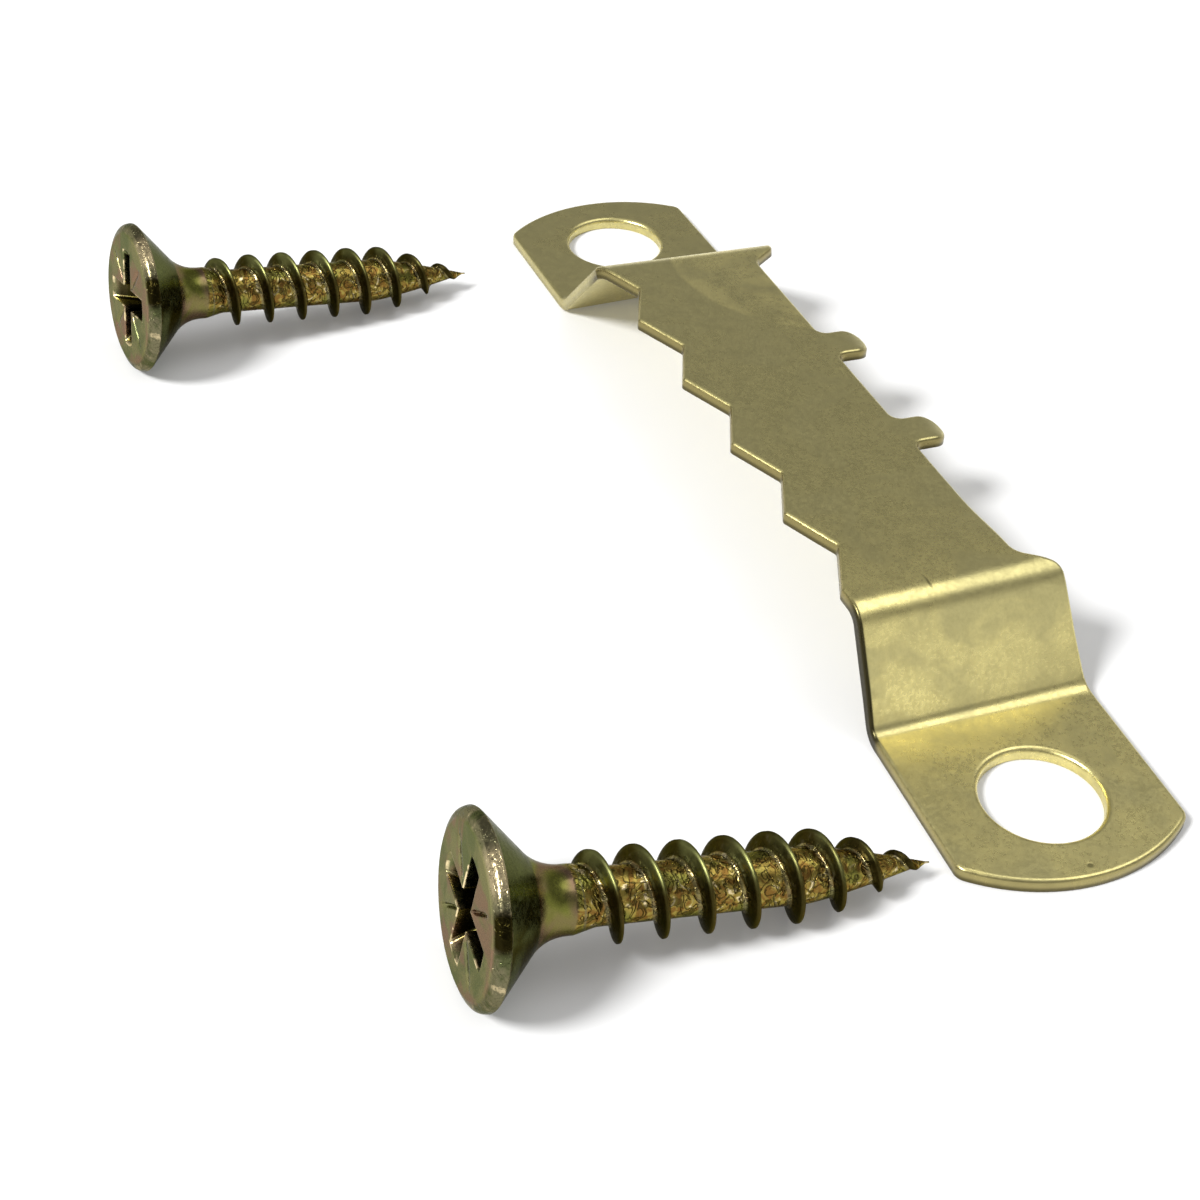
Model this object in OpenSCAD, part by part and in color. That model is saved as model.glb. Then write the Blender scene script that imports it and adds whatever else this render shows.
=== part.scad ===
// Sawtooth picture hanger with the two wood screws that come with it.
// A brass-plated steel strap has a flat ear at each end, and a raised bridge
// whose notched edge hooks over a nail. The screws lie loose beside it.
// The ears' undersides and both screws rest on z = 0. The origin is midway
// between the two screw holes, +X runs along the strap, and the notches face -Y.

/* [Strap] */
// Length of the strap over its rounded ends
strap_length = 45; // [42:0.5:60]
// Width of the strap across its ears
strap_width = 8.4; // [7.4:0.1:12]
// Thickness of the sheet that the strap is stamped from
sheet = 0.5; // [0.3:0.05:0.8]
// Radius of the arc that ends each ear
end_radius = 6.4; // [6:0.1:20]
// Rounding of the two outer corners of each ear
ear_corner_radius = 0.5; // [0.1:0.1:0.8]

/* [Screw holes] */
// Distance from the strap's end to the middle of the nearest screw hole
hole_from_end = 3.75; // [3.4:0.05:4.2]
// Diameter of each screw hole
hole_diameter = 4.2; // [3:0.1:5]

/* [Bridge] */
// Height of the bridge's top above the ears' top
bridge_rise = 3.8; // [2:0.1:5]
// Length of each ear from the strap's end to the foot of its ramp
ear_length = 7.83; // [7.2:0.01:8.6]
// Slope of the ramps that carry the bridge, in degrees
ramp_angle = 52; // [45:1:70]
// Inside radius of the four bends
bend_radius = 0.6; // [0.2:0.1:0.9]

/* [Notched edge] */
// Number of notches along the bridge
notch_count = 5; // [1:2:5]
// Plain length left between the last notch and the crest of the ramp
notch_margin = 0.58; // [0.5:0.02:2]
// Depth of a notch below the line of its points
notch_depth = 1; // [0.4:0.1:1.6]
// Rounding at the bottom of a notch
notch_radius = 0.25; // [0.1:0.05:0.5]
// Rounding of the points between the notches
point_radius = 0.2; // [0.1:0.05:0.4]

/* [Back edge] */
// Depth that the bridge's back edge is cut in from the ears' side
back_cut = 1.65; // [1.1:0.05:3]
// Distance from the crest of a ramp to the top of its shoulder
shoulder_inset = 0.3; // [0.2:0.1:2]
// How far the top of a shoulder stays inside the ears' side, which the ramp's edge then meets
shoulder_setback = 0.4; // [0.1:0.1:0.8]
// Slope of the two shoulders that lead out of the cut, in degrees
shoulder_angle = 54; // [45:1:80]
// Rounding where a shoulder meets the back edge and the ramp
shoulder_radius = 0.7; // [0.2:0.1:0.9]
// Distance between the middles of the two nibs
nib_spacing = 6.3; // [4:0.1:12]
// Width of a nib
nib_width = 1.6; // [1.3:0.05:2.4]
// How far a nib's end stays inside the ears' side
nib_setback = 0; // [0:0.05:0.4]
// Rounding of a nib's two free corners
nib_corner_radius = 0.6; // [0.1:0.05:0.75]
// Rounding where a nib meets the back edge
nib_root_radius = 0.4; // [0.1:0.05:0.5]

/* [Screws] */
// Length of a screw from its flat face to its point
screw_length = 15.2; // [12:0.1:20]
// Diameter of the head
head_diameter = 6; // [5:0.05:7]
// Radius of the head's rounded rim
rim_radius = 0.32; // [0.2:0.02:0.4]
// Height of the head's rim, from the face to the cone under it
rim_height = 0.57; // [0.45:0.01:0.75]
// Slope of the head's underside, in degrees from the screw's axis
head_angle = 49.5; // [45:0.5:55]
// Diameter of the plain neck under the head
neck_diameter = 2.1; // [1.9:0.05:2.6]
// Distance from the head's face to the end of the neck
neck_end = 3.2; // [3:0.1:4]
// Radius of the hollow flare between head and neck
flare_radius = 1.6; // [0.6:0.1:1.8]
// Diameter over the thread's crest
thread_diameter = 2.88; // [2.4:0.02:3.4]
// Diameter of the core between the thread's turns
core_diameter = 1.76; // [1.5:0.02:1.9]
// Distance that the thread advances in one turn
thread_pitch = 1.46; // [1.2:0.01:1.8]
// Width of the thread's ridge where it leaves the core
ridge_width = 0.46; // [0.3:0.02:0.6]
// Length of the taper that ends in the point
taper_length = 4.4; // [3:0.1:6]

/* [Screw recess] */
// Diameter of the circle that the cross recess reaches
recess_diameter = 3.9; // [2.8:0.1:4.4]
// Depth of the cross recess
recess_depth = 1.9; // [1:0.1:2.2]
// Width of each wing of the cross
wing_width = 0.86; // [0.5:0.02:0.98]
// Diameter of the recess at its floor
recess_floor = 1.1; // [0.8:0.1:1.6]
// Width of each of the four marks between the wings
mark_width = 0.14; // [0.08:0.02:0.2]
// Depth of each mark
mark_depth = 0.2; // [0.1:0.05:0.4]

/* [Where the screws lie] */
// How far the near screw's head lies beyond the near hole, along the strap
near_head_offset = 0.6; // [-3:0.1:3]
// Gap between the near screw's point and the strap's side
near_gap = 0.95; // [0.6:0.05:10]
// Direction in which the near screw points, in degrees from +X
near_yaw = 86; // [70:0.5:110]
// Turn of the near screw's thread about its axis, in degrees
near_spin = 308; // [0:1:359]
// Turn of the near screw's cross recess, in degrees
near_recess_turn = 3; // [0:1:89]
// How far the far screw's head lies inside the far hole, along the strap
far_head_offset = 2.5; // [-3:0.1:4]
// Gap between the far screw's point and the strap's side
far_gap = 3.5; // [0.6:0.1:10]
// Direction in which the far screw points, in degrees from +X
far_yaw = 95.5; // [70:0.5:110]
// Turn of the far screw's thread about its axis, in degrees
far_spin = 338; // [0:1:359]
// Turn of the far screw's cross recess, in degrees
far_recess_turn = 77; // [0:1:89]

/* [Hidden] */
brass = "#b5a45c";
passivated_zinc = "#8f8a4e";

// How far a cut runs past the surface that it opens
overrun = 0.5;
// Steps in which a rounding or an arc of an outline is drawn
arc_steps = 6;
end_steps = 16;

// Strap, worked out from the sizes above
half_width = strap_width / 2;
half_length = strap_length / 2;
bridge_top = sheet + bridge_rise;
outer_radius = bend_radius + sheet;
foot_x = half_length - ear_length;
crest_x = foot_x - bridge_rise / tan(ramp_angle);
hole_x = half_length - hole_from_end;
bend_shift = sheet * tan(ramp_angle / 2);

// The arc of an ear meets the strap's side at this angle and place
end_half_angle = asin(half_width / end_radius);
end_centre = half_length - end_radius;

// Back edge
back_y = half_width - back_cut;
nib_y = half_width - nib_setback;
shoulder_end = crest_x - shoulder_inset;
back_half = shoulder_end - (back_cut - shoulder_setback) / tan(shoulder_angle);

// Notches
notch_y = -half_width + notch_depth;
notch_pitch = 2 * (crest_x - notch_margin) / notch_count;
notch_half = notch_pitch / 2;

// Screw, with its axis along Z from the face at z = 0 to the point
head_radius = head_diameter / 2;
neck_radius = neck_diameter / 2;
core_radius = core_diameter / 2;
crest_radius = thread_diameter / 2;
ridge_height = crest_radius - core_radius;
cone_end = rim_height + (head_radius - neck_radius) / tan(head_angle);
flare = min(flare_radius, (neck_end - cone_end) / tan(head_angle / 2));
taper_start = screw_length - taper_length;
thread_sides = 14;
thread_step = thread_pitch / thread_sides;
thread_rings = floor((screw_length - neck_end) / thread_step);
core_sink = thread_step;
run_in_length = thread_pitch / 2;
tip_share = 0.06;

// A screw lies on its rim and on the last full crest before the taper
rim_inset_radius = head_radius - rim_radius;
rest_tilt = atan((head_radius - crest_radius) / (taper_start - rim_radius));
rest_height = rim_radius * sin(rest_tilt) + rim_inset_radius * cos(rest_tilt) + rim_radius;

// Points of the arc that rounds the corner b between a and c with radius r
function corner_arc(a, b, c, r) =
    let (
        u = (a - b) / norm(a - b),
        v = (c - b) / norm(c - b),
        half = acos(u * v) / 2,
        middle = b + (u + v) / norm(u + v) * (r / sin(half)),
        from = b + u * (r / tan(half)) - middle,
        to = b + v * (r / tan(half)) - middle,
        turn = from.x * to.y - from.y * to.x > 0 ? 1 : -1,
        sweep = turn * (180 - 2 * half),
        start = atan2(from.y, from.x)
    )
    [for (k = [0 : arc_steps]) middle + r * [cos(start + sweep * k / arc_steps), sin(start + sweep * k / arc_steps)]];

// Outline through corners given as [x, y, rounding radius]
function rounded(corners) =
    let (n = len(corners), at = function(k) [corners[k].x, corners[k].y])
    [for (k = [0 : n - 1])
        each (corners[k].z > 0
            ? corner_arc(at((k + n - 1) % n), at(k), at((k + 1) % n), corners[k].z)
            : [at(k)])];

// Outline of the strap seen from above, anticlockwise from its notched edge

function notch_corners() =
    [for (k = [0 : notch_count - 1])
        let (middle = (k - (notch_count - 1) / 2) * notch_pitch)
        each concat(
            k == 0 ? [[middle - notch_half, -half_width, point_radius]] : [],
            [[middle, notch_y, notch_radius]],
            [[middle + notch_half, -half_width, point_radius]])];

function end_corners(side) =
    [for (k = [0 : end_steps])
        let (angle = -end_half_angle + 2 * end_half_angle * k / end_steps)
        [side * (end_centre + end_radius * cos(angle)),
         side * end_radius * sin(angle),
         k == 0 || k == end_steps ? ear_corner_radius : 0]];

function nib_corners(middle) =
    [[middle + nib_width / 2, back_y, nib_root_radius],
     [middle + nib_width / 2, nib_y, nib_corner_radius],
     [middle - nib_width / 2, nib_y, nib_corner_radius],
     [middle - nib_width / 2, back_y, nib_root_radius]];

function back_corners() =
    concat(
        [[foot_x, half_width, 0]],
        [[shoulder_end, half_width - shoulder_setback, shoulder_radius]],
        [[back_half, back_y, shoulder_radius]],
        nib_corners(nib_spacing / 2),
        nib_corners(-nib_spacing / 2),
        [[-back_half, back_y, shoulder_radius]],
        [[-shoulder_end, half_width - shoulder_setback, shoulder_radius]],
        [[-foot_x, half_width, 0]]);

module strap_outline() {
    polygon(rounded(concat(notch_corners(), end_corners(1), back_corners(), end_corners(-1))));
}

// Side view of the strap, drawn in X and Z: the corners of its half at +X
function top_corners() =
    [[crest_x, bridge_top, outer_radius],
     [foot_x, sheet, bend_radius],
     [half_length + overrun, sheet, 0]];

function under_corners() =
    [[half_length + overrun, 0, 0],
     [foot_x - bend_shift, 0, outer_radius],
     [crest_x - bend_shift, bridge_top - sheet, bend_radius]];

function mirrored(corners) =
    [for (k = [len(corners) - 1 : -1 : 0]) [-corners[k].x, corners[k].y, corners[k].z]];

module strap_side() {
    polygon(rounded(concat(
        mirrored(top_corners()), top_corners(),
        under_corners(), mirrored(under_corners()))));
}

module screw_holes() {
    for (side = [-1, 1])
        translate([side * hole_x, 0, -overrun])
            cylinder(d = hole_diameter, h = sheet + 2 * overrun, $fn = 64);
}

module hanger_plate() {
    color(brass)
        difference() {
            intersection() {
                translate([0, half_width + overrun, 0])
                    rotate([90, 0, 0])
                        linear_extrude(strap_width + 2 * overrun) strap_side();
                translate([0, 0, -overrun])
                    linear_extrude(bridge_top + 2 * overrun) strap_outline();
            }
            screw_holes();
        }
}

// Wood screw, standing on its head's face with its point up

module screw_head() {
    profile = rounded([
        [0, 0, 0],
        [head_radius, 0, rim_radius],
        [head_radius, rim_height, 0],
        [neck_radius, cone_end, flare],
        [neck_radius, neck_end, 0],
        [0, neck_end, 0]]);
    rotate_extrude($fn = 64) polygon(profile);
}

module cross_recess(turn) {
    cone = [[0, -overrun], [recess_diameter / 2, -overrun], [recess_diameter / 2, 0],
            [recess_floor / 2, recess_depth], [0, recess_depth]];
    intersection() {
        rotate_extrude($fn = 48) polygon(cone);
        rotate(turn)
            for (quarter = [0, 90])
                rotate(quarter)
                    translate([-recess_diameter / 2, -wing_width / 2, -overrun])
                        cube([recess_diameter, wing_width, recess_depth + 2 * overrun]);
    }
    for (eighth = [45, 135])
        rotate(turn + eighth)
            translate([-recess_diameter / 2, -mark_width / 2, -overrun])
                cube([recess_diameter, mark_width, mark_depth + overrun]);
}

// Core radius and ridge height at a distance from the head's face
function core_at(z) =
    z < taper_start ? core_radius
    : core_radius * max(tip_share, (screw_length - z) / taper_length);
function ridge_at(z) =
    ridge_height * min(1, max(0, (z - neck_end) / run_in_length), max(0, (screw_length - z) / taper_length) ^ 0.6);

// Share of the ridge's height at a number of steps from its crest
function flank_share(steps) = max(0, 1 - steps * thread_step / (ridge_width / 2));
function steps_from_crest(ring, side) =
    let (k = (ring + thread_sides * thread_rings - side) % thread_sides)
    min(k, thread_sides - k);

// Core and thread as one skin: a ring of points at each step along the axis
module threaded_shank() {
    first = neck_end - core_sink;
    ring_points = [for (ring = [0 : thread_rings], side = [0 : thread_sides - 1])
        let (
            z = first + ring * thread_step,
            radius = core_at(z) + ridge_at(z) * flank_share(steps_from_crest(ring, side)),
            angle = 360 * side / thread_sides
        )
        [radius * cos(angle), radius * sin(angle), z]];
    point = len(ring_points);
    function at(ring, side) = ring * thread_sides + side % thread_sides;
    skin = [for (ring = [0 : thread_rings - 1], side = [0 : thread_sides - 1])
        each [[at(ring, side), at(ring + 1, side + 1), at(ring, side + 1)],
              [at(ring, side), at(ring + 1, side), at(ring + 1, side + 1)]]];
    base = [[for (side = [0 : thread_sides - 1]) side]];
    tip = [for (side = [0 : thread_sides - 1])
        [at(thread_rings, side), point, at(thread_rings, side + 1)]];
    polyhedron(concat(ring_points, [[0, 0, screw_length]]), concat(base, skin, tip));
}

module wood_screw(spin, recess_turn) {
    difference() {
        union() {
            screw_head();
            rotate(spin) threaded_shank();
        }
        cross_recess(recess_turn);
    }
}

// Lay a screw on the surface beside the strap, with its point at a gap from the strap's side
module lying(head_x, gap, yaw) {
    head_y = half_width + gap + screw_length * cos(rest_tilt) * sin(yaw);
    translate([head_x, -head_y, rest_height])
        rotate([0, 90 + rest_tilt, yaw])
            children();
}

module near_screw() {
    color(passivated_zinc)
        lying(hole_x + near_head_offset, near_gap, near_yaw)
            wood_screw(near_spin, near_recess_turn);
}

module far_screw() {
    color(passivated_zinc)
        lying(far_head_offset - hole_x, far_gap, far_yaw)
            wood_screw(far_spin, far_recess_turn);
}

hanger_plate();
near_screw();
far_screw();
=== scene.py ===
"""Looks of a sawtooth picture hanger and its two wood screws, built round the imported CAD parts."""

import math

import bpy
import numpy as np
from mathutils import Matrix, Vector, geometry


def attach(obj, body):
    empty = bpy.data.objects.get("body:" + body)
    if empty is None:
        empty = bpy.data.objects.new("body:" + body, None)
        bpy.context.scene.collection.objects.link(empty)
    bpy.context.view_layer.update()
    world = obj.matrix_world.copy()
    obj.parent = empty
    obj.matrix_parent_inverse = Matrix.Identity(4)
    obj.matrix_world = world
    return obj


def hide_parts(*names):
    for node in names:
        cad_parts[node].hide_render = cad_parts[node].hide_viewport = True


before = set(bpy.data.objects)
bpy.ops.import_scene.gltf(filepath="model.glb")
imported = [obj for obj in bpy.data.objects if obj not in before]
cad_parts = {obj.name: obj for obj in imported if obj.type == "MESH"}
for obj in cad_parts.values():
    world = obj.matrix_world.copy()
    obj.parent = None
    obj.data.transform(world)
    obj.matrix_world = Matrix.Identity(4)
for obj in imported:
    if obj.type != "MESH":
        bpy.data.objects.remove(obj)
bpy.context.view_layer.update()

bl_info = {
    "name": "Sawtooth picture hanger",
    "version": (1, 0, 0),
    "blender": (4, 5, 0),
    "location": "View3D > Sidebar > Hanger",
    "description": "Builds a notched picture hanger, its two wood screws and a plain studio",
    "category": "Object",
}

# One millimetre in metres
MM = 0.001
# Keeps a division from being by zero
NO_ZERO = 1e-15
# Points that are closer than this count as one
SAME_PLACE = 1e-6
# Distance within which the triangulation joins points
MERGE_GAP = 1e-7

# Strap, in millimetres and degrees
# How far the sheet's middle line runs on past both ends, and its points per bend
LINE_OVERRUN, BEND_POINTS = 1.0, 25
# Plain stretch beside each bend that is meshed as finely as the bend
BEND_MARGIN = 0.15
# Longest side of the outline and spacing of the points within it, in the bends and elsewhere
BEND_SIDE, PLAIN_SIDE = 0.09, 0.3
BEND_GRID, PLAIN_GRID = 0.1, 0.4
# Half width of that grid, its share of the strap's length, and its least distance from the outline
GRID_HALF_WIDTH, GRID_REACH, GRID_GAP = 4.4, 1.2, 0.09
# Points round each hole, and steps along the arc that ends each ear
HOLE_POINTS, END_ARC_STEPS = 96, 32
# Rounding of the ears' sides at the feet of the ramps
FOOT_ROUNDING = 1.5
# Most that a corner of an inset outline may run ahead of its sides
MITRE_LIMIT = 2
# Cut edge: turns of the rings in its lower and upper rounding, shares of the wall between, and flat rim
UNDER_TURNS, TOP_TURNS = (0, 30, 60, 90), (0, 15, 30, 45, 60, 75, 90)
WALL_RINGS, EDGE_MARGIN = (0.35, 0.7), 0.03
# Where the bridge's roll begins to die out towards the near crest, and over what length
ROLL_END, ROLL_FADE = 7.5, 3.5
# How far the nibs' ends curl down, and over what length
NIB_CURL, NIB_CURL_LENGTH = 0.2, 0.8
# How far before a ramp's foot the ear's skew sets in, and over what length
SKEW_LEAD, SKEW_FADE = 1.0, 1.5

# Screw, in millimetres
# Steps along each side of a wing of the recess and round its end
WING_STEPS, WING_END_STEPS = 9, 8
# Least reach of a wing as a share of its half width
LEAST_WING = 1.02
# Closer points beside each corner between two wings: distances, and most shares of a short side
CORNER_SPREAD, SHORT_SPREAD = np.array([0.035, 0.07, 0.12]), np.array([0.1, 0.2, 0.3])
# Rows up the recess's wall as shares of its depth, and over its edge as (growth, depth)
WALL_ROWS = (1.0, 0.97, 0.75, 0.5, 0.3, 0.12, 0.05)
EDGE_ROWS = ((0.0, 0.035), (0.008, 0.012), (0.03, 0.0), (0.06, 0.0))
# Rows from the recess to the rim as shares of the way, and how far inside the face they end
FACE_ROWS = (0.08, 0.16, 0.26, 0.36, 0.46, 0.5, 0.54, 0.6, 0.7, 0.8, 0.9, 0.97)
FACE_MARGIN = 0.03
# How far the middle of the recess's floor lies below its lowest row
FLOOR_POINT = 0.12
# How far the marks run past the recess, and the power that shapes their sides
MARK_REACH, MARK_POWER = 0.12, 0.7
# Rows of the head over which its columns become evenly spaced
EVEN_ROWS = 12
# Steps round each corner of the head's profile, and its longest side
PROFILE_STEPS, PROFILE_SIDE = 14, 0.15
# Angle in degrees by which the ridge has turned where the neck ends
RIDGE_LEAD = 30.6
# How far below the neck's end the thread starts, and over what length its first turn leaves it
THREAD_START, RUN_IN = 0.02, 0.2
# Points across each flank of the ridge and the root beside it
FLANK_POINTS, ROOT_POINTS = 7, 6
# Shares of the ridge's half width: where the flank's points end and the root's start, and the fillet's
# start and width
FLANK_END, ROOT_START, FILLET_START, FILLET_WIDTH = 1.25, 1.5, 0.7, 0.8
# Height of the fillet, and the share of the ridge's height that it stays under
FILLET, FILLET_TOP = 0.06, 0.35
# Powers of the ridge's growth over its first half turn, and of the taper of core and ridge
RIDGE_GROWTH, CORE_TAPER, RIDGE_TAPER = 0.7, 1.25, 1.5
# Length over which the neck narrows to the core
CORE_FADE = 0.8
# Least radius of the shank, and how far its rows stay from the tip
POINT_RADIUS, POINT_GAP = 0.03, 0.01
# Radius of the rim's rounding that a lying screw rests on
RIM_REST = 0.32

# Brass plating, in millimetres in the strap's frame
# Stretch along X over which the plating gets brighter
BRIGHT_ZONE = (4.0, 13.0)
# Lighter wiped patch, as the middle, radius and softness of its curved edge
WIPED_PATCH = ((-9.6, 4.6, 4.3), 5.6, 0.25)
# Dark pits as (middle, radius), and how soft they are
PITS, PIT_EDGE = (((10.38, -0.78, 4.2), 0.03), ((22.0, -0.4, 0.5), 0.05)), 0.1
# Short scratch: shift to the origin, scaling that makes it round, radius and softness
SCRATCH_SHIFT, SCRATCH_SCALE, SCRATCH = (-11.7, 1.2, 0), (0.16, 1.0, 0), (0.01, 0.07)
# Painted shade at the near ramp: where it sets in along X, and where it ends
PAINTED_SHADE_START, PAINTED_SHADE_END = (11.4, 12.2), (15.0, 14.6)
# Distance from a hole's middle within which a cut edge stays bright
HOLE_EDGE = (2.25, 2.6)

# Yellow zinc, in millimetres: distances from the face, or from the axis, over which one zone follows another
RIM_ZONE, CONE_ZONE, NECK_ZONE, THREAD_ZONE = (0.5, 0.46), (0.47, 0.52), (1.72, 1.86), (3.05, 3.15)
FACE_EDGE = (2.6, 2.75)
# A painted highlight and a painted dark reflection on the rim, as middle, radius and softness
PAINTED_RIM_HIGHLIGHT, PAINTED_RIM_DARK_REFLECTION = ((-2.7, -1.15, 0.25), 0.45, 0.6), ((-1.6, -2.45, 0.25), 0.45, 0.35)

# Studio, in metres
# Lamps as name, place, aim, width and the setting that holds the power
LAMPS = (
    ("Key", (0.07, -0.42, 0.44), (0, -0.005, 0), 0.16, "key_power"),
    ("Overhead", (0.0, 0.3, 0.56), (0, 0, 0), 0.46, "top_power"),
    ("Front panel", (0.48, 0.23, 0.15), (0, 0, 0), 0.3, "front_power"),
    ("Side panel", (-0.13, -0.42, 0.2), (0, 0, 0), 0.1, "side_power"),
)
# Distance from the middle over which the floor's own light grows, and its two levels
FLOOR_FADE, FLOOR_GLOW = (0.1, 0.38), (0.1, 0.8)
# Surroundings: level at the horizon, above it and overhead, and the upward parts between which they change
HORIZON_LEVEL, SKY_LEVEL, ZENITH_LEVEL = (0.9, 0.9, 0.9, 1), (0.27, 0.27, 0.27, 1), (0.6, 0.6, 0.6, 1)
HORIZON_ZONE, ZENITH_ZONE = (0.05, 0.3), (0.6, 1.0)
# Camera as it was fitted to the photograph, with its sensor's width in millimetres
SENSOR_WIDTH, CLIP_START, CLIP_END = 36, 0.001, 20
CAMERA_PLACE = Vector((0.05595, -0.03311, 0.04681))
CAMERA_RIGHT = Vector((0.37093, 0.92739, 0.04857))
CAMERA_DOWN = Vector((0.60680, -0.20244, -0.76864))
CAMERA_AHEAD = Vector((-0.70300, 0.31459, -0.63783))


def length(name, description, default):
    return bpy.props.FloatProperty(
        name=name, description=description, default=default * MM, unit="LENGTH", precision=5
    )


def angle(name, description, default):
    return bpy.props.FloatProperty(
        name=name, description=description, default=math.radians(default), unit="ROTATION", subtype="ANGLE"
    )


def colour(name, description, default):
    return bpy.props.FloatVectorProperty(
        name=name, description=description, default=default, min=0, max=1, size=3, subtype="COLOR"
    )


def power(name, description, default):
    return bpy.props.FloatProperty(name=name, description=description, default=default, unit="POWER")


class StrapSettings(bpy.types.PropertyGroup):
    """Sizes and finish of the stamped strap"""

    strap_length: length("Length", "Length over both ears", 45)
    strap_width: length("Width", "Width of the ears", 8.4)
    sheet: length("Sheet", "Thickness of the sheet metal", 0.5)
    end_radius: length("End radius", "Radius of the arc that ends each ear", 6.4)
    ear_corner: length("Ear corner", "Rounding of the ears' corners", 0.5)
    hole_from_end: length("Hole from end", "Middle of each hole from the strap's end", 3.75)
    hole_diameter: length("Hole", "Diameter of the screw holes", 4.2)
    bridge_rise: length("Rise", "Height of the bridge above the ears", 3.8)
    near_ear: length("Near ear", "Length of the near ear up to its bend", 8.0)
    far_ear: length("Far ear", "Length of the far ear up to its bend", 7.75)
    near_ramp: angle("Near ramp", "Slope of the ramp at the near end", 60)
    far_ramp: angle("Far ramp", "Slope of the ramp at the far end", 46)
    bend_radius: length("Bend radius", "Inside radius of the bends", 0.6)
    notch_count: bpy.props.IntProperty(name="Notches", description="Number of notches", default=5)
    notch_pitch: length("Notch pitch", "Distance from notch to notch", 4.45)
    notch_depth: length("Notch depth", "Depth of the notches", 1.0)
    notch_radius: length("Notch radius", "Rounding in each notch", 0.25)
    point_radius: length("Point radius", "Rounding of the points between the notches", 0.23)
    back_cut: length("Back cut", "How far the bridge's back edge is cut back", 1.65)
    shoulder_inset: length("Shoulder inset", "Where each shoulder ends before the bend", 0.3)
    shoulder_setback: length("Shoulder setback", "How far the shoulders lie inside the ears' width", 0.4)
    shoulder_angle: angle("Shoulder angle", "Slope of the shoulders", 54)
    shoulder_radius: length("Shoulder radius", "Rounding of the shoulders", 0.7)
    nib_spacing: length("Nib spacing", "Distance between the two nibs", 6.3)
    nib_width: length("Nib width", "Width of each nib", 1.6)
    nib_corner: length("Nib corner", "Rounding of a nib's end", 0.74)
    nib_root: length("Nib root", "Rounding at a nib's root", 0.4)
    top_rounding: length("Top rounding", "Rounding of the stamped upper edge", 0.15)
    under_rounding: length("Lower rounding", "Rounding of the lower edge", 0.05)
    hole_rounding: length("Hole rounding", "Rounding of the holes' upper edge", 0.2)
    roll: angle("Roll", "Slight roll of the bridge about the notched edge", 2.2)
    near_skew: angle("Near skew", "Slight turn of the near ear", -2.4)
    far_skew: angle("Far skew", "Slight turn of the far ear", 1.0)
    brass: colour("Brass", "Colour of the brass plating", (0.82, 0.72, 0.3))
    worn_brass: colour("Dull brass", "Colour of the duller patches", (0.62, 0.555, 0.25))
    cut_face: colour("Cut face", "Colour of the sheared cut face round the strap", (0.25, 0.205, 0.08))
    # Stain also gives painted shade at the foot of the cut faces and at the near ramp
    stain_and_shade: colour("Stain", "Colour of dark residue on the cut faces of the bends", (0.03, 0.026, 0.012))


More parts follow.
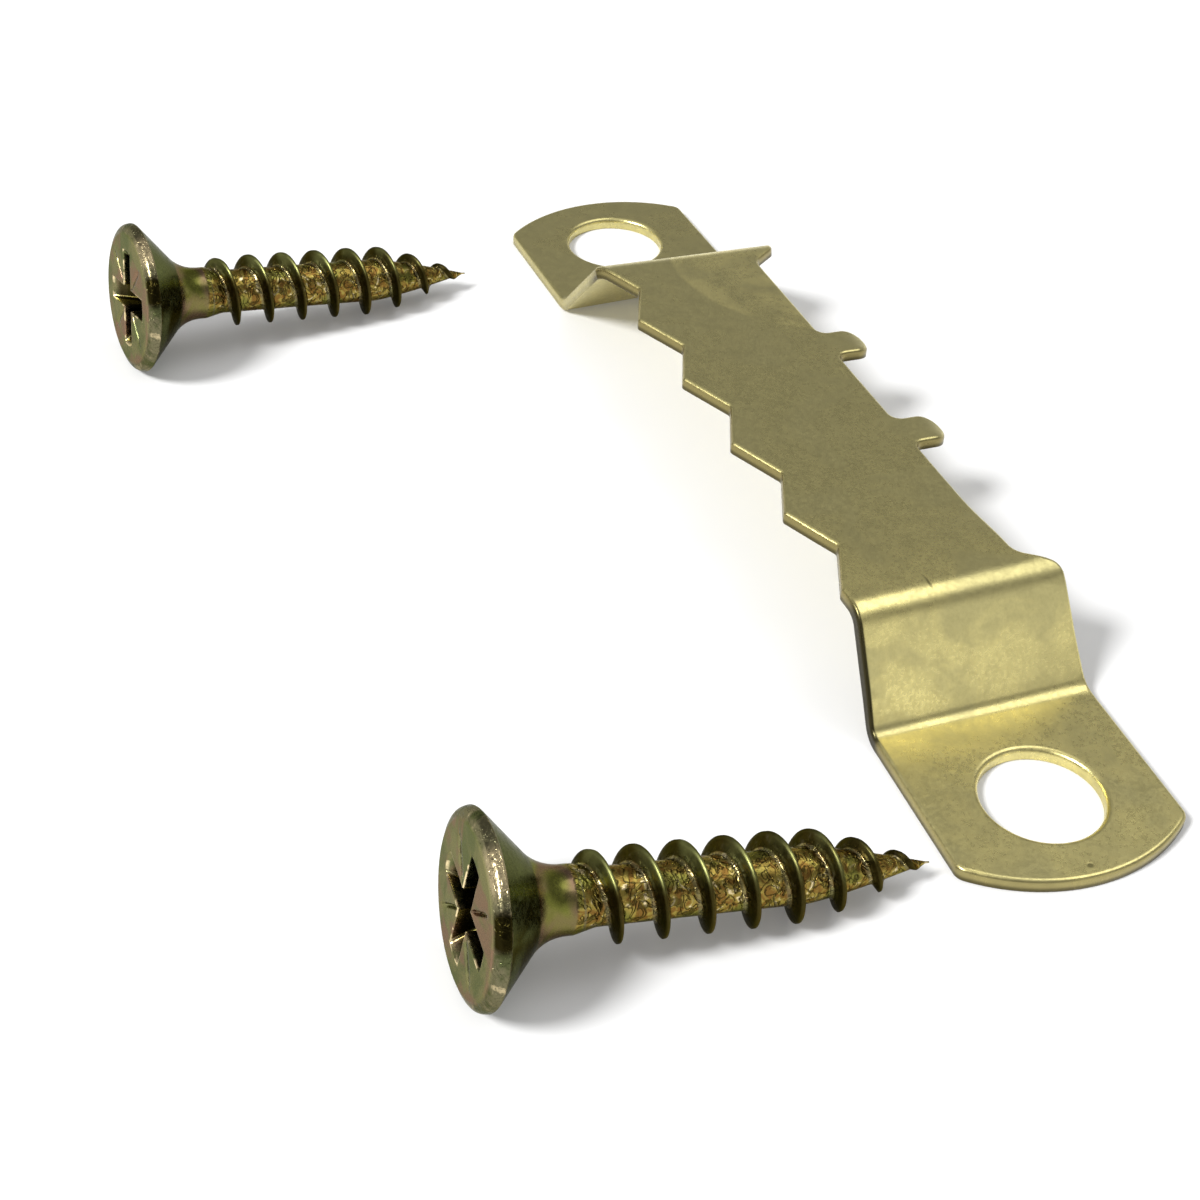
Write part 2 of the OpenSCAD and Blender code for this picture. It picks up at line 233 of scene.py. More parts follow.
class ScrewSettings(bpy.types.PropertyGroup):
    """Sizes, place and finish of the wood screws"""

    screw_length: length("Length", "Length from face to point", 15.2)
    head_diameter: length("Head", "Diameter of the head", 6)
    face_diameter: length("Face", "Diameter of the flat face inside the rim", 5.2)
    rim_height: length("Rim", "Height of the rounded rim", 0.46)
    cone_end: length("Cone end", "Where the head's cone meets the neck", 2.24)
    flare_radius: length("Flare radius", "Hollow between cone and neck", 1.7)
    neck_diameter: length("Neck", "Diameter of the plain neck", 2.1)
    neck_end: length("Neck end", "Where the plain neck ends", 3.2)
    thread_diameter: length("Thread", "Diameter over the thread", 2.88)
    core_diameter: length("Core", "Diameter between the ridges", 1.76)
    thread_pitch: length("Pitch", "Distance from ridge to ridge", 1.46)
    ridge_width: length("Ridge width", "Width of the ridge at its foot", 0.46)
    crest_width: length("Crest width", "Width of the ridge's crest", 0.07)
    taper_length: length("Taper", "Length of the tapered point", 4.4)
    recess_diameter: length("Recess", "Diameter of the cross recess", 3.9)
    recess_floor: length("Recess floor", "Diameter of the recess at its floor", 1.1)
    recess_depth: length("Recess depth", "Depth of the cross recess", 1.9)
    wing_width: length("Wing", "Width of each wing of the cross", 0.86)
    mark_width: length("Mark width", "Width of the marks between the wings", 0.16)
    mark_depth: length("Mark depth", "Depth of the marks between the wings", 0.2)
    near_head_offset: length("Near head", "How far the near screw's head lies beyond the near hole", 0.6)
    near_gap: length("Near gap", "Gap between the near screw's point and the strap", 1.18)
    near_yaw: angle("Near direction", "Direction in which the near screw points", 86)
    near_spin: angle("Near spin", "Turn of the near screw's thread", 308)
    near_recess_turn: angle("Near recess", "Turn of the near screw's cross", 3)
    far_head_offset: length("Far head", "How far the far screw's head lies inside the far hole", 2.5)
    far_gap: length("Far gap", "Gap between the far screw's point and the strap", 3.5)
    far_yaw: angle("Far direction", "Direction in which the far screw points", 95.5)
    far_spin: angle("Far spin", "Turn of the far screw's thread", 338)
    far_recess_turn: angle("Far recess", "Turn of the far screw's cross", 77)
    olive: colour("Olive", "Main colour of the passivated face", (0.24, 0.225, 0.1))
    rose: colour("Rose", "Rosy brown tint of the face and the neck", (0.27, 0.17, 0.11))
    moss: colour("Moss", "Dark green tint of the face", (0.145, 0.16, 0.065))
    rim_zinc: colour("Rim", "Colour of the rim", (0.17, 0.155, 0.085))
    neck_zinc: colour("Neck zinc", "Yellow green of the plain neck", (0.165, 0.17, 0.035))
    gold: colour("Gold", "Gold on the thread's root", (0.32, 0.245, 0.055))
    copper: colour("Copper", "Reddish tone on the thread's root", (0.2, 0.11, 0.025))
    # Bare metal for scuffs and chips, and also the colour of the painted highlight on the rim
    bare_and_highlight: colour("Bare", "Bright metal where the passivation is scuffed off", (0.95, 0.78, 0.45))
    crest_zinc: colour("Crest", "Green tone along the ridge's crest", (0.19, 0.2, 0.07))
    # Umber also gives painted shade in the band under the head, on the ridges' lower side and in the recess,
    # and the painted dark reflection on the rim
    umber_and_shade: colour("Umber", "Darkest tone, under the head and on the ridges", (0.035, 0.028, 0.007))


class StudioSettings(bpy.types.PropertyGroup):
    """Floor, lamps and camera"""

    floor: colour("Floor", "Colour of the floor", (0.74, 0.74, 0.74))
    floor_size: length("Floor size", "Side of the floor", 4000)
    lens: bpy.props.FloatProperty(
        name="Lens", description="Focal length", default=60.48, subtype="DISTANCE_CAMERA"
    )
    key_power: power("Key", "Power of the key lamp", 4.2)
    front_power: power("Front", "Power of the front panel", 0.085)
    side_power: power("Side", "Power of the side panel", 0.08)
    top_power: power("Top", "Power of the overhead lamp", 0.85)


# Outlines


def corner_arc(before, corner, after, radius, steps):
    """Points of the arc that rounds a corner."""
    u = (before - corner) / np.linalg.norm(before - corner)
    v = (after - corner) / np.linalg.norm(after - corner)
    half = math.acos(float(np.clip(u @ v, -1, 1))) / 2
    middle = corner + (u + v) / np.linalg.norm(u + v) * radius / math.sin(half)
    start = corner + u * radius / math.tan(half) - middle
    end = corner + v * radius / math.tan(half) - middle
    turn = 1 if start[0] * end[1] - start[1] * end[0] > 0 else -1
    sweep = turn * (math.pi - 2 * half)
    first = math.atan2(start[1], start[0])
    angles = first + sweep * np.linspace(0, 1, steps + 1)
    return middle + radius * np.c_[np.cos(angles), np.sin(angles)]


def rounded(corners, steps=10):
    """Outline through corners given as (x, y, rounding radius)."""
    count = len(corners)
    flat = [np.array(corner[:2], float) for corner in corners]
    points = []
    for k, corner in enumerate(corners):
        if corner[2] > 0:
            points.extend(corner_arc(flat[k - 1], flat[k], flat[(k + 1) % count], corner[2], steps))
        else:
            points.append(flat[k])
    return np.array(points)


def smooth(share):
    """Share from 0 to 1 with a soft start and a soft end."""
    return share * share * (3 - 2 * share)


def hole_place(strap):
    """Distance of the holes' middles from the strap's middle, in millimetres."""
    return (strap.strap_length / 2 - strap.hole_from_end) / MM


def turned(points, turn):
    """Flat points turned about the origin."""
    c, d = math.cos(turn), math.sin(turn)
    return points @ np.array([[c, d], [-d, c]])


class StrapShape:
    """The strap's sizes in millimetres, with its bends as one line in X and Z."""

    def __init__(self, s):
        self.s = s
        self.sheet = s.sheet / MM
        self.half_length = s.strap_length / MM / 2
        self.half_width = s.strap_width / MM / 2
        self.rise = s.bridge_rise / MM
        self.foot = {1: self.half_length - s.near_ear / MM, -1: self.half_length - s.far_ear / MM}
        self.slope = {1: s.near_ramp, -1: s.far_ramp}
        self.crest = {k: self.foot[k] - self.rise / math.tan(self.slope[k]) for k in (1, -1)}
        self.bend = s.bend_radius / MM + self.sheet / 2
        self.trace_side()

    def trace_side(self):
        """Line of the sheet's middle: distance along it, place in X and Z, and slope."""
        half = self.sheet / 2
        x, z, slope = [-self.half_length - LINE_OVERRUN], [half], [0.0]
        # First and last point of each bend
        self.bends = []
        for side in (-1, 1):
            a = self.slope[side]
            shift = half * math.tan(a / 2)
            foot = (side * (self.foot[side] - shift), half)
            crest = (side * (self.crest[side] - shift), half + self.rise)
            stops = [(foot, 0.0, a), (crest, a, 0.0)] if side < 0 else [(crest, 0.0, -a), (foot, -a, 0.0)]
            for (cx, cz), before, after in stops:
                cut = self.bend * math.tan(abs(after - before) / 2)
                sx, sz = cx - cut * math.cos(before), cz - cut * math.sin(before)
                turn = 1 if after > before else -1
                ox, oz = sx - turn * self.bend * math.sin(before), sz + turn * self.bend * math.cos(before)
                self.bends.append((len(x), len(x) + BEND_POINTS - 1))
                for t in np.linspace(0, 1, BEND_POINTS):
                    now = before + (after - before) * t
                    x.append(ox + turn * self.bend * math.sin(now))
                    z.append(oz - turn * self.bend * math.cos(now))
                    slope.append(now)
        x.append(self.half_length + LINE_OVERRUN)
        z.append(half)
        slope.append(0.0)
        self.x, self.z, self.angle = np.array(x), np.array(z), np.array(slope)
        steps = np.hypot(np.diff(self.x), np.diff(self.z))
        self.along = np.concatenate([[0], np.cumsum(steps)])
        self.along -= np.interp(0, self.x, self.along)

    def outline(self):
        """Outline of the flat blank as (distance along the sheet, Y), anticlockwise."""
        s = self.s
        pitch, depth = s.notch_pitch / MM, s.notch_depth / MM
        point_r, notch_r = s.point_radius / MM, s.notch_radius / MM
        width, cut = self.half_width, s.back_cut / MM
        corners = []
        for k in range(s.notch_count):
            middle = (k - (s.notch_count - 1) / 2) * pitch
            if k == 0:
                corners.append((middle - pitch / 2, -width, point_r))
            corners.append((middle, -width + depth, notch_r))
            corners.append((middle + pitch / 2, -width, point_r))
        corners += self.end_corners(1) + self.shoulder_corners(1, cut)
        for side in (1, -1):
            corners += self.nib_corners(side * s.nib_spacing / MM / 2, width - cut)
        corners += self.shoulder_corners(-1, cut)[::-1] + self.end_corners(-1)
        points = rounded(corners)
        points[:, 0] = np.interp(points[:, 0], self.x, self.along)
        return points

    def end_corners(self, side):
        radius = self.s.end_radius / MM
        reach = math.asin(self.half_width / radius)
        found = []
        for k in range(END_ARC_STEPS + 1):
            a = -reach + 2 * reach * k / END_ARC_STEPS
            corner = self.s.ear_corner / MM if k in (0, END_ARC_STEPS) else 0
            x = self.half_length - radius + radius * math.cos(a)
            found.append((side * x, side * radius * math.sin(a), corner))
        return found

    def shoulder_corners(self, side, cut):
        s = self.s
        top = self.half_width - s.shoulder_setback / MM
        end = self.crest[side] - s.shoulder_inset / MM
        start = end - (cut - s.shoulder_setback / MM) / math.tan(s.shoulder_angle)
        radius = s.shoulder_radius / MM
        return [
            (side * self.foot[side], self.half_width, FOOT_ROUNDING),
            (side * end, top, radius),
            (side * start, self.half_width - cut, radius),
        ]

    def nib_corners(self, middle, low):
        s = self.s
        half, root, corner = s.nib_width / MM / 2, s.nib_root / MM, s.nib_corner / MM
        top = self.half_width
        return [
            (middle + half, low, root),
            (middle + half, top, corner),
            (middle - half, top, corner),
            (middle - half, low, root),
        ]

    def place(self, flat, height):
        """Points of the blank at a height in the sheet, bent into shape, with the slight handling set."""
        s = self.s
        x = np.interp(flat[:, 0], self.along, self.x)
        z = np.interp(flat[:, 0], self.along, self.z)
        a = np.interp(flat[:, 0], self.along, self.angle)
        off = height - self.sheet / 2
        x, z, y = x - off * np.sin(a), z + off * np.cos(a), flat[:, 1].copy()
        lifted = np.clip((z - self.sheet) / self.rise, 0, 1)
        # The roll dies out towards the near crest, and the nibs' ends curl down a little
        near_end = np.clip((x - ROLL_END) / ROLL_FADE, 0, 1)
        z -= math.tan(s.roll) * (y + self.half_width) * lifted * (1 - smooth(near_end))
        curl = np.clip((y - self.half_width + NIB_CURL_LENGTH) / NIB_CURL_LENGTH, 0, 1)
        z -= NIB_CURL * curl * curl * (np.abs(x) < s.nib_spacing / MM)
        for side, skew in ((1, s.near_skew), (-1, s.far_skew)):
            foot = side * self.foot[side]
            turn = skew * smooth(np.clip((side * x - self.foot[side] + SKEW_LEAD) / SKEW_FADE, 0, 1))
            dx = x - foot
            x, y = foot + dx * np.cos(turn) - y * np.sin(turn), dx * np.sin(turn) + y * np.cos(turn)
        return np.c_[x, y, z]


def resample(loop, step):
    """Closed outline with no side longer than step(place)."""
    points = []
    for a, b in zip(loop, np.roll(loop, -1, 0)):
        parts = max(1, int(math.ceil(np.linalg.norm(b - a) / step((a + b) / 2))))
        for k in range(parts):
            points.append(a + (b - a) * k / parts)
    points = np.array(points)
    return points[np.linalg.norm(points - np.roll(points, 1, 0), axis=1) > SAME_PLACE]


def inset(loop, distance):
    """Anticlockwise outline moved inwards by a distance."""
    ahead = np.roll(loop, -1, 0) - loop
    ahead /= np.linalg.norm(ahead, axis=1)[:, None]
    normal = np.c_[-ahead[:, 1], ahead[:, 0]]
    both = normal + np.roll(normal, 1, 0)
    both /= np.linalg.norm(both, axis=1)[:, None]
    stretch = 1 / np.clip((both * normal).sum(1), 1 / MITRE_LIMIT, 1)
    return loop + both * (distance * stretch)[:, None]


def inside(points, loop):
    """Which points lie within a closed outline."""
    x, y = points[:, 0][:, None], points[:, 1][:, None]
    x0, y0 = loop[:, 0][None], loop[:, 1][None]
    x1, y1 = np.roll(loop[:, 0], -1)[None], np.roll(loop[:, 1], -1)[None]
    crosses = ((y0 > y) != (y1 > y)) & (x < (x1 - x0) * (y - y0) / (y1 - y0 + NO_ZERO) + x0)
    return crosses.sum(1) % 2 == 1


def away_from(points, loop):
    """Distance of each point from a closed outline's corners and sides."""
    a, b = loop[None], np.roll(loop, -1, 0)[None]
    p = points[:, None]
    t = np.clip(((p - a) * (b - a)).sum(2) / np.maximum(((b - a) ** 2).sum(2), NO_ZERO), 0, 1)
    return np.sqrt((((a + (b - a) * t[..., None]) - p) ** 2).sum(2)).min(1)


def clear_of(points, loops):
    """Which points lie within none of the closed outlines."""
    keep = np.ones(len(points), bool)
    for loop in loops:
        keep &= ~inside(points, loop)
    return keep


def edge_rings(top, under, sheet):
    """Insets and heights of the rings that round the sheet's cut edge, from below to above."""
    low = [(under * (1 - math.sin(a)), under * (1 - math.cos(a))) for a in np.radians(UNDER_TURNS)]
    middle = [(0.0, under + (sheet - under - top) * t) for t in WALL_RINGS]
    high = [(top * (1 - math.cos(a)), sheet - top + top * math.sin(a)) for a in np.radians(TOP_TURNS)]
    return [(under + EDGE_MARGIN, 0.0)] + low + middle + high + [(top + EDGE_MARGIN, sheet)]


def new_object(name, vertices, faces, material, attributes=None):
    """Mesh object from arrays in millimetres, with named values on its vertices."""
    mesh = bpy.data.meshes.new(name)
    mesh.from_pydata((np.asarray(vertices) * MM).tolist(), [], [list(f) for f in faces])
    mesh.validate()
    for key, values in (attributes or {}).items():
        layer = mesh.attributes.new(key, "FLOAT", "POINT")
        layer.data.foreach_set("value", np.asarray(values, np.float32))
    mesh.materials.append(material)
    mesh.shade_smooth()
    mesh.update()
    made = bpy.data.objects.new(name, mesh)
    bpy.context.scene.collection.objects.link(made)
    return made


def join_rows(low, high):
    """Faces between two closed rows of points, which are given by their numbers."""
    count = len(low)
    return [(low[k], low[(k + 1) % count], high[(k + 1) % count], high[k]) for k in range(count)]


def fill_sheet(loops, grid):
    """Triangles over the points of the outlines and of the grid, which leave the holes open."""
    flat = np.concatenate(loops + [grid])
    edges, start = [], 0
    for loop in loops:
        n = len(loop)
        edges += [(start + k, start + (k + 1) % n) for k in range(n)]
        start += n
    # Output type 1 keeps only the triangles within the edges
    result = geometry.delaunay_2d_cdt([Vector(p) for p in flat], edges, [], 1, MERGE_GAP)
    points, triangles, origin = result[0], result[2], result[3]
    if len(points) != len(flat):
        raise RuntimeError("the strap's outline crosses itself")
    order = [o[0] for o in origin]
    triangles = np.array([[order[i] for i in t] for t in triangles])
    return triangles[clear_of(flat[triangles].mean(1), loops[1:])]


def build_strap(s, material):
    """The whole strap as one closed skin: both faces of the sheet and a rounded edge round each outline."""
    shape = StrapShape(s)
    spans = [(shape.along[a] - BEND_MARGIN, shape.along[b] + BEND_MARGIN) for a, b in shape.bends]

    def bent(along):
        return any(a < along < b for a, b in spans)

    loops = [resample(shape.outline(), lambda place: BEND_SIDE if bent(place[0]) else PLAIN_SIDE)]
    hole_r = s.hole_diameter / MM / 2
    around = np.linspace(0, -2 * math.pi, HOLE_POINTS, endpoint=False)
    for side in (1, -1):
        centre = np.interp(side * hole_place(s), shape.x, shape.along)
        loops.append(np.c_[centre + hole_r * np.cos(around), hole_r * np.sin(around)])
    under = s.under_rounding / MM
    tops = (s.top_rounding, s.hole_rounding, s.hole_rounding)
    rings = [edge_rings(top / MM, under, shape.sheet) for top in tops]
    inner = [inset(loop, ring[-1][0]) for loop, ring in zip(loops, rings)]
    rows = [-shape.half_length * GRID_REACH]
    while rows[-1] < shape.half_length * GRID_REACH:
        rows.append(rows[-1] + (BEND_GRID if bent(rows[-1]) else PLAIN_GRID))
    grid = np.array([(u, v) for u in rows for v in np.arange(-GRID_HALF_WIDTH, GRID_HALF_WIDTH, PLAIN_GRID)])
    keep = inside(grid, inner[0]) & clear_of(grid, inner[1:])
    for loop in inner:
        keep &= away_from(grid, loop) > GRID_GAP
    grid = grid[keep]
    vertices, faces, cut, depth = [], [], [], []

    def add_points(flat, height, cut_share):
        """Adds points of the blank at one height, and gives back their numbers."""
        start = sum(len(points) for points in vertices)
        vertices.append(shape.place(flat, np.full(len(flat), height)))
        cut.append(np.full(len(flat), cut_share))
        depth.append(np.full(len(flat), height / shape.sheet))
        return list(range(start, start + len(flat)))

    top, under = [], []
    for loop, ring in zip(loops, rings):
        numbers = [add_points(inset(loop, away), height, 1 - away / ring[-1][0]) for away, height in ring]
        for low, high in zip(numbers, numbers[1:]):
            faces += join_rows(low, high)
        under += numbers[0]
        top += numbers[-1]
    top += add_points(grid, shape.sheet, 0.0)
    under += add_points(grid, 0.0, 0.0)
    for a, b, c in fill_sheet(inner, grid):
        faces.append((top[a], top[b], top[c]))
        faces.append((under[c], under[b], under[a]))
    values = {"cut_face": np.concatenate(cut), "depth": np.concatenate(depth)}
    return new_object("strap", np.concatenate(vertices), faces, material, values)


# Screws


def head_profile(s):
    """Rim, cone, hollow flare and neck as (radius, distance from the face)."""
    face, head, neck = s.face_diameter / MM / 2, s.head_diameter / MM / 2, s.neck_diameter / MM / 2
    rim = s.rim_height / MM
    # Corners as (radius, distance from the face, rounding): on the face, the face's edge, the rim's upper,
    # outer and lower edge, the cone's end and the neck's; the first and the last are left out again
    corners = [
        (face - 0.6, 0, 0),
        (face, 0, 0.12),
        (head - 0.05, 0.16, 0.28),
        (head, rim - 0.04, 0.06),
        (head - 0.03, rim + 0.01, 0.04),
        (neck, s.cone_end / MM, s.flare_radius / MM),
        (neck, s.neck_end / MM, 0),
        (0, s.neck_end / MM, 0),
    ]
    points = rounded(corners, PROFILE_STEPS)[1:-1]
    rows = [points[0]]
    for point in points[1:]:
        last, gap = rows[-1], np.linalg.norm(point - rows[-1])
        if gap > SAME_PLACE:
            parts = max(1, int(math.ceil(gap / PROFILE_SIDE)))
            rows += [last + (point - last) * k / parts for k in range(1, parts + 1)]
    return np.array(rows)


def cross_ring(radius, half, grow):
    """Outline of the cross at one depth, as points in order round the axis from a corner between wings."""
    radius, half = radius + grow, half + grow
    end_x = math.sqrt(max(radius * radius - half * half, (half * LEAST_WING) ** 2))
    end_a = math.atan2(half, end_x)
    side = end_x - half
    near = np.minimum(CORNER_SPREAD * math.sqrt(2), side * SHORT_SPREAD)
    rest = near[-1] + (side - near[-1]) * np.linspace(0, 1, WING_STEPS + 1)[1:]
    away = half + np.concatenate([[0], near, rest])
    lower = np.c_[away, np.full(len(away), -half)]
    arc = np.linspace(-end_a, end_a, WING_END_STEPS + 1)[1:-1]
    reach = math.hypot(end_x, half)
    end = np.c_[reach * np.cos(arc), reach * np.sin(arc)]
    upper = np.c_[away[::-1][:-1], np.full(len(away) - 1, half)]
    quarter = np.concatenate([lower, end, upper])
    return np.concatenate([turned(quarter, k * math.pi / 2) for k in range(4)])


def column_directions(inner, face):
    """Directions of the head's columns of points: evenly spaced, and as they lie on the edge of the face."""
    count = len(inner)
    start = np.unwrap(np.arctan2(inner[:, 1], inner[:, 0]))
    even = start[0] + np.arange(count) * 2 * math.pi / count
    quarter, beside = count // 4, len(CORNER_SPREAD)
    found = even.copy()
    for base in range(0, count, quarter):
        centre = start[base]
        for j, off in enumerate(CORNER_SPREAD, 1):
            found[base + j] = centre + math.asin(off / face)
            found[(base - j) % count] = centre - math.asin(off / face) + (2 * math.pi if base - j < 0 else 0)
        first, last = base + beside, base + quarter - beside
        low, high = found[first], centre + math.pi / 2 - math.asin(CORNER_SPREAD[-1] / face)
        for j in range(first + 1, last):
            found[j] = low + (high - low) * (j - first) / (last - first)
    return even, found


def build_screw(name, s, spin, recess_turn, material):
    """One wood screw: head with its cross recess, and a shank whose thread winds down to the point."""
    rows = []

    def add(points, depth):
        rows.append(np.c_[points, np.full(len(points), depth)])

    half, depth = s.wing_width / MM / 2, s.recess_depth / MM
    wide, narrow = s.recess_diameter / MM / 2, s.recess_floor / MM / 2
    for share in WALL_ROWS:
        add(cross_ring(wide + (narrow - wide) * share, half, 0), depth * share)
    for grow, down in EDGE_ROWS:
        add(cross_ring(wide, half, grow), down)
    inner = rows[-1][:, :2]
    count = len(inner)
    face = s.face_diameter / MM / 2 - FACE_MARGIN
    even, spread = column_directions(inner, face)
    outer = face * np.c_[np.cos(spread), np.sin(spread)]
    mark, mark_depth = s.mark_width / MM / 2, s.mark_depth / MM
    for share in FACE_ROWS:
        ring = inner + (outer - inner) * share
        x, y = ring[:, 0], ring[:, 1]
        across = np.minimum(np.abs(x - y), np.abs(x + y)) / math.sqrt(2)
        ending = np.clip((wide + MARK_REACH - np.linalg.norm(ring, axis=1)) / MARK_REACH, 0, 1)
        rows.append(np.c_[ring, np.clip(1 - across / mark, 0, 1) ** MARK_POWER * ending * mark_depth])
    for k, (radius, z) in enumerate(head_profile(s)):
        now = even + (spread - even) * (1 - min(1.0, k / EVEN_ROWS))
        add(radius * np.c_[np.cos(now), np.sin(now)], z)
    vertices = np.concatenate(rows)
    vertices[:, :2] = turned(vertices[:, :2], recess_turn)
    numbers = np.arange(len(vertices)).reshape(len(rows), count).tolist()
    floor = len(vertices)
    vertices = np.concatenate([vertices, [[0, 0, depth + FLOOR_POINT]]])
    faces = [(floor, (k + 1) % count, k) for k in range(count)]
    for low, high in zip(numbers, numbers[1:]):
        faces += join_rows(low, high)
    values = {"axial": vertices[:, 2].copy()}
    for key in ("ridge", "side", "edge", "recess"):
        values[key] = np.zeros(len(vertices))
    wall = len(WALL_ROWS) * count
    values["edge"][wall : wall + (len(EDGE_ROWS) - 1) * count] = 1
    values["recess"][:wall] = 1
    values["recess"][floor] = 1
    vertices, faces = wind_thread(s, spin, numbers[-1], vertices, faces, values)
    return new_object(name, vertices, faces, material, values)


def wind_thread(s, spin, neck, vertices, faces, values):
    """Adds the shank: a strip that winds round the core, with the ridge in each of its columns of points."""
    count = len(neck)
    pitch, end = s.thread_pitch / MM, s.screw_length / MM
    core, crest = s.core_diameter / MM / 2, s.thread_diameter / MM / 2
    taper, start = s.taper_length / MM, s.neck_end / MM
    foot, flat = s.ridge_width / MM / 2, s.crest_width / MM / 2
    neck_radius = s.neck_diameter / MM / 2
    # The strip starts at the column whose direction is that of the ridge at the neck's end
    around = np.arctan2(vertices[neck, 1], vertices[neck, 0])
    wanted = spin + math.radians(RIDGE_LEAD)
    shift = int(np.argmin(np.abs(np.angle(np.exp(1j * (around - wanted))))))
    neck = neck[shift:] + neck[:shift]
    around = np.unwrap(around[np.r_[shift:count, 0:shift]])
    # Places across the strip, in turns from the ridge's middle
    flank = np.linspace(flat / pitch, foot / pitch * FLANK_END, FLANK_POINTS)
    root = np.linspace(foot / pitch * ROOT_START, 0.5, ROOT_POINTS)
    u = np.concatenate([-root[::-1], -flank[::-1], flank, root])
    height = np.clip((foot / pitch - np.abs(u)) / ((foot - flat) / pitch), 0, 1)
    soft = np.clip(1 - (np.abs(u) * pitch - foot * FILLET_START) / (foot * FILLET_WIDTH), 0, 1)
    fillet = FILLET * soft * soft * (height < FILLET_TOP)
    columns = int(((end - start) / pitch + 0.5) * count) + 1
    base = len(vertices)
    made, along, crown = [], [], []
    for j in range(columns + 1):
        lap, part = divmod(j, count)
        turn = 2 * math.pi * lap + around[part] - around[0]
        raised = THREAD_START + u * pitch + pitch * turn / (2 * math.pi)
        # The first turn is squeezed so that it starts level with the neck's end
        z = start + (raised + np.sqrt(raised * raised + RUN_IN * RUN_IN)) / 2
        run_in = np.clip(turn / math.pi, 0, 1) ** RIDGE_GROWTH
        left = np.clip((end - z) / taper, 0, 1)
        body = neck_radius + (core - neck_radius) * smooth(np.clip((z - start) / CORE_FADE, 0, 1))
        r_core = body * (1 - (1 - left) ** CORE_TAPER)
        r_ridge = (crest - core) * run_in * (1 - (1 - left) ** RIDGE_TAPER)
        radius = np.maximum(POINT_RADIUS, r_core + r_ridge * np.maximum(height, fillet))
        z = np.minimum(z, end - POINT_GAP)
        made.append(np.c_[radius * math.cos(around[part]), radius * math.sin(around[part]), z])
        along.append(z)
        crown.append(height * run_in)
    vertices = np.concatenate([vertices] + made)
    n = len(u)
    plain = [np.zeros(n)] * len(made)
    added = {"axial": along, "ridge": crown, "side": [u] * len(made), "edge": plain, "recess": plain}

    def at(j, k):
        # The strip's last row is the first row of the next turn
        if k == n - 1 and j + count <= columns:
            return base + (j + count) * n
        return base + j * n + k

    for j in range(columns):
        for k in range(n - 1):
            faces.append((at(j, k), at(j + 1, k), at(j + 1, k + 1), at(j, k + 1)))
    for k in range(count - 1):
        faces.append((neck[k], neck[k + 1], at(k + 1, 0), at(k, 0)))
    seam = tuple(at(0, k) for k in range(n))
    faces.append((neck[count - 1], neck[0]) + seam + (at(count - 1, 0),))
    tip = len(vertices)
    vertices = np.concatenate([vertices, [[0, 0, end]]])
    for key, rows in added.items():
        values[key] = np.concatenate([values[key]] + rows + [[end if key == "axial" else 0]])
    for j in range(columns - count, columns):
        faces.append((at(j, n - 1), at(j + 1, n - 1), tip))
    faces.append(tuple(at(columns, k) for k in range(n)) + (tip,))
    return vertices, faces


def lay_screw(made, s, head_x, gap, yaw):
    """Puts a screw on the surface beside the strap, resting on its rim and its last full crest."""
    radius, crest = s.head_diameter / MM / 2, s.thread_diameter / MM / 2
    reach = (s.screw_length - s.taper_length) / MM - RIM_REST
    tilt = math.atan((radius - crest) / reach)
    lift = RIM_REST * math.sin(tilt) + (radius - RIM_REST) * math.cos(tilt) + RIM_REST
    strap = bpy.context.scene.strap_settings
    head_y = strap.strap_width / MM / 2 + gap + s.screw_length / MM * math.cos(tilt) * math.sin(yaw)
    turn = Matrix.Rotation(yaw, 4, "Z") @ Matrix.Rotation(math.pi / 2 + tilt, 4, "Y")
    made.matrix_world = Matrix.Translation((head_x * MM, -head_y * MM, lift * MM)) @ turn


# Materials


